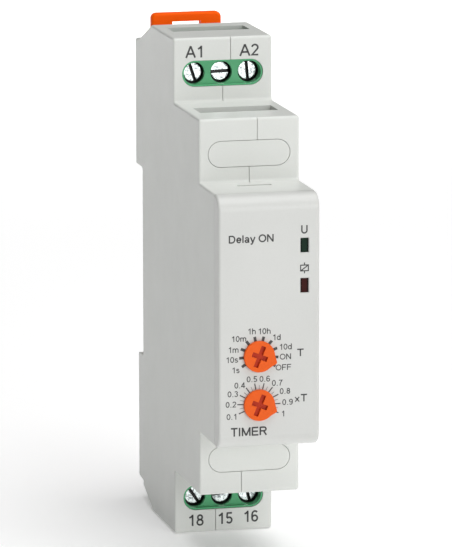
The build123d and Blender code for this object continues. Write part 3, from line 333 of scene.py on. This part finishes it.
def new_piece(name, mesh, material, body="housing"):
    piece = bpy.data.objects.new(name, mesh)
    bpy.context.scene.collection.objects.link(piece)
    mesh.materials.clear()
    mesh.materials.append(material)
    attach(piece, body)
    return piece


STROKE = 0.155             # weight of a stroke, as a share of the capital height
SIDE_BEARING = 0.06        # blank beside a letter, the same share


def arc(x, z, reach_x, reach_z, start, end, steps=14):
    """Points along an ellipse, angles in degrees anticlockwise from +X."""
    turns = [math.radians(start + (end - start) * step / steps) for step in range(steps + 1)]
    return [(x + reach_x * math.cos(turn), z + reach_z * math.sin(turn)) for turn in turns]


def ring(x, z, reach_x, reach_z):
    return arc(x, z, reach_x, reach_z, 0, 360, 28)


# Sans-serif letters as (advance, strokes), with a capital height of 1.
LETTERS = {
    " ": (0.39, []),
    ".": (0.39, [[(0.19, 0), (0.19, 0.14)]]),
    "0": (0.78, [ring(0.39, 0.5, 0.26, 0.435)]),
    "1": (0.78, [[(0.50, 0), (0.50, 1.0)], [(0.50, 0.93), (0.40, 0.82), (0.20, 0.73)]]),
    "2": (0.78, [arc(0.39, 0.70, 0.25, 0.235, 170, -35) + [(0.15, 0.07), (0.68, 0.07)]]),
    "3": (0.78, [arc(0.37, 0.73, 0.21, 0.205, 160, -90), arc(0.38, 0.295, 0.25, 0.23, 90, -160)]),
    "4": (0.78, [[(0.54, 0), (0.54, 1.0)], [(0.54, 0.95), (0.09, 0.30)], [(0.04, 0.29), (0.74, 0.29)]]),
    "5": (0.78, [[(0.65, 0.935), (0.22, 0.935), (0.17, 0.52)], arc(0.38, 0.31, 0.25, 0.245, 140, -150)]),
    "6": (0.78, [ring(0.39, 0.31, 0.25, 0.245), arc(0.41, 0.60, 0.27, 0.335, 40, 180) + [(0.14, 0.33)]]),
    "7": (0.78, [[(0.10, 0.935), (0.66, 0.935), (0.45, 0.62), (0.34, 0.32), (0.30, 0)]]),
    "8": (0.78, [ring(0.39, 0.73, 0.20, 0.20), ring(0.39, 0.295, 0.25, 0.23)]),
    "9": (0.78, [ring(0.39, 0.69, 0.25, 0.245), arc(0.37, 0.40, 0.27, 0.335, -140, 0) + [(0.64, 0.67)]]),
    "A": (0.93, [[(0.06, 0), (0.465, 0.99)], [(0.465, 0.99), (0.87, 0)], [(0.20, 0.33), (0.73, 0.33)]]),
    "D": (1.00, [[(0.15, 0), (0.15, 1)], [(0.15, 0.935), (0.47, 0.935)] + arc(0.47, 0.5, 0.38, 0.435, 90, -90)
                 + [(0.15, 0.065)]]),
    "E": (0.93, [[(0.15, 0), (0.15, 1)], [(0.15, 0.935), (0.84, 0.935)], [(0.15, 0.5), (0.79, 0.5)],
                 [(0.15, 0.065), (0.86, 0.065)]]),
    "F": (0.86, [[(0.15, 0), (0.15, 1)], [(0.15, 0.935), (0.80, 0.935)], [(0.15, 0.5), (0.72, 0.5)]]),
    "I": (0.39, [[(0.195, 0), (0.195, 1)]]),
    "M": (1.16, [[(0.15, 0), (0.15, 1)], [(0.15, 0.97), (0.58, 0.05)], [(0.58, 0.05), (1.01, 0.97)],
                 [(1.01, 0), (1.01, 1)]]),
    "N": (1.00, [[(0.15, 0), (0.15, 1)], [(0.15, 0.97), (0.85, 0.03)], [(0.85, 0), (0.85, 1)]]),
    "O": (1.09, [ring(0.545, 0.5, 0.43, 0.435)]),
    "R": (1.00, [[(0.15, 0), (0.15, 1)],
                 [(0.15, 0.935), (0.58, 0.935)] + arc(0.58, 0.72, 0.24, 0.215, 90, -90) + [(0.15, 0.505)],
                 [(0.54, 0.5), (0.86, 0)]]),
    "T": (0.86, [[(0.43, 0), (0.43, 0.93)], [(0.04, 0.935), (0.82, 0.935)]]),
    "U": (1.00, [[(0.14, 1), (0.14, 0.37)] + arc(0.50, 0.36, 0.36, 0.295, 180, 360) + [(0.86, 1)]]),
    "a": (0.78, [arc(0.36, 0.48, 0.22, 0.185, 160, 0) + [(0.58, 0.12), (0.64, 0.01)],
                 ring(0.34, 0.22, 0.20, 0.155)]),
    "d": (0.78, [ring(0.37, 0.36, 0.25, 0.30), [(0.63, 0), (0.63, 1)]]),
    "e": (0.78, [[(0.14, 0.38), (0.64, 0.38)] + arc(0.39, 0.365, 0.25, 0.30, 0, 322, 20)]),
    "h": (0.78, [[(0.14, 0), (0.14, 1)], arc(0.385, 0.44, 0.245, 0.225, 180, 0) + [(0.63, 0)]]),
    "l": (0.31, [[(0.155, 0), (0.155, 1)]]),
    "m": (1.16, [[(0.14, 0), (0.14, 0.73)], arc(0.36, 0.46, 0.22, 0.205, 180, 0) + [(0.58, 0)],
                 arc(0.80, 0.46, 0.22, 0.205, 180, 0) + [(1.02, 0)]]),
    "s": (0.70, [arc(0.34, 0.53, 0.20, 0.135, 25, 270), arc(0.34, 0.23, 0.22, 0.165, 90, -155)]),
    "x": (0.70, [[(0.07, 0.73), (0.63, 0)], [(0.63, 0.73), (0.07, 0)]]),
    "y": (0.70, [[(0.06, 0.73), (0.35, 0.03)], [(0.64, 0.73), (0.33, -0.06), (0.24, -0.20), (0.08, -0.20)]]),
}


def stroke_mesh(strokes, face_y, weight):
    """Flat closed ribbons along (x, z) strokes on a face; sizes in metres."""
    verts, faces = [], []
    for stroke in strokes:
        closed = (Vector(stroke[0]) - Vector(stroke[-1])).length < 1e-7 and len(stroke) > 3
        points = [Vector(point) for point in (stroke[:-1] if closed else stroke)]
        count = len(points)
        first = len(verts)
        for index, point in enumerate(points):
            before = points[index - 1] if index or closed else point
            after = points[(index + 1) % count] if index < count - 1 or closed else point
            one = (point - before).normalized() if before != point else (after - point).normalized()
            two = (after - point).normalized() if after != point else one
            across = Vector((-(one + two).y, (one + two).x)).normalized()
            across *= weight / 2 / max(0.5, across.dot(Vector((-one.y, one.x))))
            for side, proud in ((1, INK_PROUD), (-1, INK_PROUD), (-1, -INK_SUNK), (1, -INK_SUNK)):
                edge = point + across * side
                verts.append((edge.x, face_y - proud, edge.y))
        for index in range(count if closed else count - 1):
            here, there = first + index * 4, first + (index + 1) % count * 4
            for corner in range(4):
                other = (corner + 1) % 4
                faces.append((here + corner, there + corner, there + other, here + other))
        if not closed:
            faces.append(tuple(first + corner for corner in range(4)))
            faces.append(tuple(first + (count - 1) * 4 + corner for corner in (3, 2, 1, 0)))
    mesh = bpy.data.meshes.new("strokes")
    mesh.from_pydata(verts, [], faces)
    return mesh


def label(words, x, z, height, face_y, width=None, weight=STROKE):
    """Strokes of a line of letters centred at (x, z); sizes in mm."""
    advance = sum(LETTERS[letter][0] for letter in words) - 2 * SIDE_BEARING
    squeeze = width / (advance * height) if width else 1.0
    strokes = []
    pen = -advance / 2 - SIDE_BEARING
    for letter in words:
        step, lines = LETTERS[letter]
        for line in lines:
            strokes.append([((x + (pen + right) * height * squeeze) * MM, (z + (up - 0.5) * height) * MM)
                            for right, up in line])
        pen += step
    return stroke_mesh(strokes, face_y, weight * height * MM)


def join_meshes(name, meshes):
    """One mesh from several."""
    joined = bmesh.new()
    for mesh in meshes:
        joined.from_mesh(mesh)
        bpy.data.meshes.remove(mesh)
    bmesh.ops.recalc_face_normals(joined, faces=joined.faces)
    result = bpy.data.meshes.new(name)
    joined.to_mesh(result)
    joined.free()
    return result


RANGE_LABELS = (
    ("1s", -5.98, -8.18), ("10s", -6.64, -6.33), ("1m", -6.39, -4.58), ("10m", -5.42, -2.69),
    ("1h", -3.12, -1.48), ("10h", -0.88, -1.54), ("1d", 1.30, -2.71), ("10d", 2.89, -4.46),
    ("ON", 2.89, -6.20), ("OFF", 2.53, -8.07),
)
TIME_LABELS = (
    ("0.1", -6.66, -16.37), ("0.2", -6.82, -14.21), ("0.3", -6.48, -12.37), ("0.4", -5.26, -10.89),
    ("0.5", -3.08, -9.90), ("0.6", -0.79, -9.94), ("0.7", 1.42, -10.77), ("0.8", 2.81, -12.28),
    ("0.9", 3.27, -14.25), ("1", 2.47, -16.27),
)


def print_face(material):
    """The lettering on the front cover and the terminal numbers."""
    marks = [label(words, x, z, 1.02, FACE_Y) for words, x, z in RANGE_LABELS + TIME_LABELS]
    new_piece("dial_numbers", join_meshes("dial_numbers", marks), material)
    words = [
        label("Delay ON", -3.2, 14.75, 1.32, FACE_Y, 7.95, 0.185),
        label("U", 6.23, 15.98, 1.45, FACE_Y, 1.1, 0.18),
        label("T", 5.55, -5.62, 1.3, FACE_Y, 1.1, 0.18),
        label("x", 4.99, -13.72, 1.15, FACE_Y, 0.75),
        label("T", 6.19, -13.66, 1.3, FACE_Y, 1.05, 0.18),
        label("TIMER", -3.6, -19.13, 1.5, FACE_Y, 6.4, 0.185),
    ]
    new_piece("cover_lettering", join_meshes("cover_lettering", words), material)
    numbers = [
        label("A1", -5.06, 42.5, 2.1, TIER1_Y, 3.2),
        label("A2", 4.89, 42.5, 2.1, TIER1_Y, 3.4),
        label("18", -5.14, -42.75, 2.1, TIER1_Y, 2.95),
        label("15", 0.31, -42.68, 2.1, TIER1_Y, 2.85),
        label("16", 5.07, -42.6, 2.1, TIER1_Y, 2.8),
    ]
    new_piece("terminal_numbers", join_meshes("terminal_numbers", numbers), material)
    new_piece("relay_symbol", relay_symbol(), material)


def relay_symbol():
    """A box with a slash and two leads, between the lights."""
    low_x, high_x, low_z, high_z = 5.57, 6.95, 8.72, 9.72
    lead, weight = 0.45, 0.19
    middle = (low_x + high_x) / 2
    lines = [
        [(low_x, low_z), (high_x, low_z), (high_x, high_z), (low_x, high_z), (low_x, low_z)],
        [(low_x, low_z), (high_x, high_z)],
        [(middle, high_z), (middle, high_z + lead)],
        [(middle, low_z), (middle, low_z - lead)],
    ]
    lines = [[(x * MM, z * MM) for x, z in line] for line in lines]
    return stroke_mesh(lines, FACE_Y, weight * MM)


# ---------------------------------------------------------------- clip spring
def clip_spring(material):
    """The clip's coil spring, welded into one mesh that stays with the housing in place of the CAD node."""
    merged = bmesh.new()
    merged.from_mesh(nodes["clip_spring"].data)
    bmesh.ops.remove_doubles(merged, verts=merged.verts, dist=0.0001 * MM)
    mesh = bpy.data.meshes.new("clip_coil_spring")
    merged.to_mesh(mesh)
    merged.free()
    piece = new_piece("clip_coil_spring", mesh, material)
    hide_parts("clip_spring")
    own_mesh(piece)


# ---------------------------------------------------------------- dial marks
def marks_tree():
    """Node tree: bars set radially round an axis, with inputs for every size."""
    tree = bpy.data.node_groups.new("dial_marks", "GeometryNodeTree")
    sides = tree.interface
    sides.new_socket("Geometry", in_out="INPUT", socket_type="NodeSocketGeometry")
    inputs = {}
    for name, kind in (("Count", "Int"), ("First Angle", "Float"), ("Step Angle", "Float"),
                       ("Radius", "Float"), ("Bar Size", "Vector"), ("Centre", "Vector"),
                       ("Ink", "Material")):
        socket = sides.new_socket(name, in_out="INPUT", socket_type=f"NodeSocket{kind}")
        inputs[name] = socket.identifier
    sides.new_socket("Geometry", in_out="OUTPUT", socket_type="NodeSocketGeometry")
    build = Tree(tree)
    held = build.add("NodeGroupInput").outputs
    index = build.add("GeometryNodeInputIndex").outputs[0]
    angle = build.math("MULTIPLY_ADD", index, held["Step Angle"], held["First Angle"])
    across = build.math("MULTIPLY", build.math("SINE", angle), held["Radius"])
    upward = build.math("MULTIPLY", build.math("COSINE", angle), held["Radius"])
    offset = build.add("ShaderNodeCombineXYZ", None, X=across, Z=upward).outputs[0]
    place = build.add("ShaderNodeVectorMath", {"operation": "ADD"}, i0=offset, i1=held["Centre"]).outputs[0]
    points = build.add("GeometryNodePoints", None, Count=held["Count"], Position=place).outputs[0]
    bar = build.add("GeometryNodeMeshCube", None, Size=held["Bar Size"]).outputs[0]
    turn = build.add("ShaderNodeCombineXYZ", None, Y=angle).outputs[0]
    spread = build.add("GeometryNodeInstanceOnPoints", None, Points=points, Instance=bar, Rotation=turn)
    solid = build.add("GeometryNodeRealizeInstances", None, Geometry=spread.outputs[0]).outputs[0]
    inked = build.add("GeometryNodeSetMaterial", None, Geometry=solid, Material=held["Ink"]).outputs[0]
    build.add("NodeGroupOutput", None, Geometry=inked)
    return tree, inputs


def dial_marks(name, marks, settings, material):
    """A ring of printed bars as one plain mesh."""
    tree, inputs = marks
    holder = bpy.data.objects.new(name, bpy.data.meshes.new(name))
    bpy.context.scene.collection.objects.link(holder)
    modifier = holder.modifiers.new(name, "NODES")
    modifier.node_group = tree
    for key, value in settings.items():
        modifier[inputs[key]] = value
    modifier[inputs["Ink"]] = material
    mesh = bpy.data.meshes.new_from_object(holder.evaluated_get(bpy.context.evaluated_depsgraph_get()))
    holder.modifiers.remove(modifier)
    bpy.data.objects.remove(holder)
    return mesh


def print_dials(material, faint):
    """Thick marks round the range dial; long and short ones round the time dial."""
    thick = INK_PROUD + INK_SUNK
    face = FACE_Y - (INK_PROUD - INK_SUNK) / 2
    rings = (
        ("range_marks", RANGE_CENTRE, 10, -120.2, 26.95, 3.08, 0.5, 0.86, material),
        ("time_marks", TIME_CENTRE, 10, -112.0, 25.2, 3.3, 0.2, 1.1, material),
        ("time_half_marks", TIME_CENTRE, 9, -99.4, 25.2, 3.1, 0.11, 0.72, faint),
    )
    marks = marks_tree()
    for name, centre, count, first, step, radius, width, length, held in rings:
        settings = {
            "Count": count,
            "First Angle": math.radians(first),
            "Step Angle": math.radians(step),
            "Radius": radius * MM,
            "Bar Size": (width * MM, thick, length * MM),
            "Centre": (centre.x, face, centre.z),
        }
        new_piece(name, dial_marks(name, marks, settings, held), held)


# ---------------------------------------------------------------- studio
def build_studio():
    """Pale floor and soft lights."""
    scene = bpy.context.scene
    bpy.ops.mesh.primitive_plane_add(size=8.0, location=(0, 0, cad_low.z - 0.0002))
    floor = bpy.context.object
    floor.name = "studio_floor"
    material, tree, place, shader = start_material("studio_floor")
    tone = tree.mix(tree.noise(place, 3.0), (0.95, 0.95, 0.95, 1.0), (0.97, 0.97, 0.97, 1.0))
    tree.join(tone, shader, "Base Color")
    shader.inputs["Roughness"].default_value = 0.8
    shader.inputs["Emission Color"].default_value = (1.0, 1.0, 1.0, 1.0)
    shader.inputs["Emission Strength"].default_value = 0.2
    floor.data.materials.append(material)

    world = bpy.data.worlds.new("studio")
    scene.world = world
    world.use_nodes = True
    world.node_tree.nodes["Background"].inputs[0].default_value = (1, 1, 1, 1)
    world.node_tree.nodes["Background"].inputs[1].default_value = 0.08
    soft_light("key", 40, 76, 3.2, 3.4, 103)
    soft_light("fill", 14, 8, 2.5, 1.6, 28)
    backdrop = soft_light("backdrop", 0, 90, 0.9, 0.8, 6)
    backdrop.location = (0.0, 1.15, 0.9)
    backdrop.data.spread = math.radians(60)
    scene.view_settings.view_transform = "Standard"


def direction(azimuth, elevation):
    """Unit vector from the object towards a place, azimuth 0 being straight in front."""
    turn, lift = math.radians(azimuth), math.radians(elevation)
    return Vector((math.sin(turn) * math.cos(lift), -math.cos(turn) * math.cos(lift), math.sin(lift)))


def soft_light(name, azimuth, elevation, distance, size, watts):
    data = bpy.data.lights.new(name, "AREA")
    data.shape = "DISK"
    data.size = size
    data.energy = watts
    lamp = bpy.data.objects.new(name, data)
    bpy.context.scene.collection.objects.link(lamp)
    back = direction(azimuth, elevation)
    lamp.location = back * distance
    lamp.rotation_euler = back.to_track_quat("Z", "Y").to_euler()
    return lamp


VIEW_AZIMUTH = -13.78
VIEW_ELEVATION = 10.86
VIEW_ROLL = -0.08
VIEW_DISTANCE = 0.8689
VIEW_LENS = 320.88
VIEW_SHIFT = (-0.30 * MM, 2.90 * MM)


def build_camera():
    data = bpy.data.cameras.new("camera")
    data.lens = VIEW_LENS
    data.sensor_width = 36.0
    data.clip_start = 0.01
    camera = bpy.data.objects.new("camera", data)
    bpy.context.scene.collection.objects.link(camera)
    bpy.context.scene.camera = camera
    back = direction(VIEW_AZIMUTH, VIEW_ELEVATION)
    facing = back.to_track_quat("Z", "Y").to_matrix()
    right, up = facing.col[0], facing.col[1]
    target = Vector((0, FACE_Y + 30 * MM, 0)) + right * VIEW_SHIFT[0] + up * VIEW_SHIFT[1]
    camera.location = target + back * VIEW_DISTANCE
    camera.rotation_euler = (facing @ Matrix.Rotation(math.radians(VIEW_ROLL), 3, "Z")).to_euler()


finishes = make_materials()
dress_nodes(finishes)
clip_spring(finishes["spring_steel"])
printed = ink("printed_ink", 48, 78)
print_face(printed)
print_dials(printed, ink("faint_ink", 120, 150))
build_studio()
build_camera()
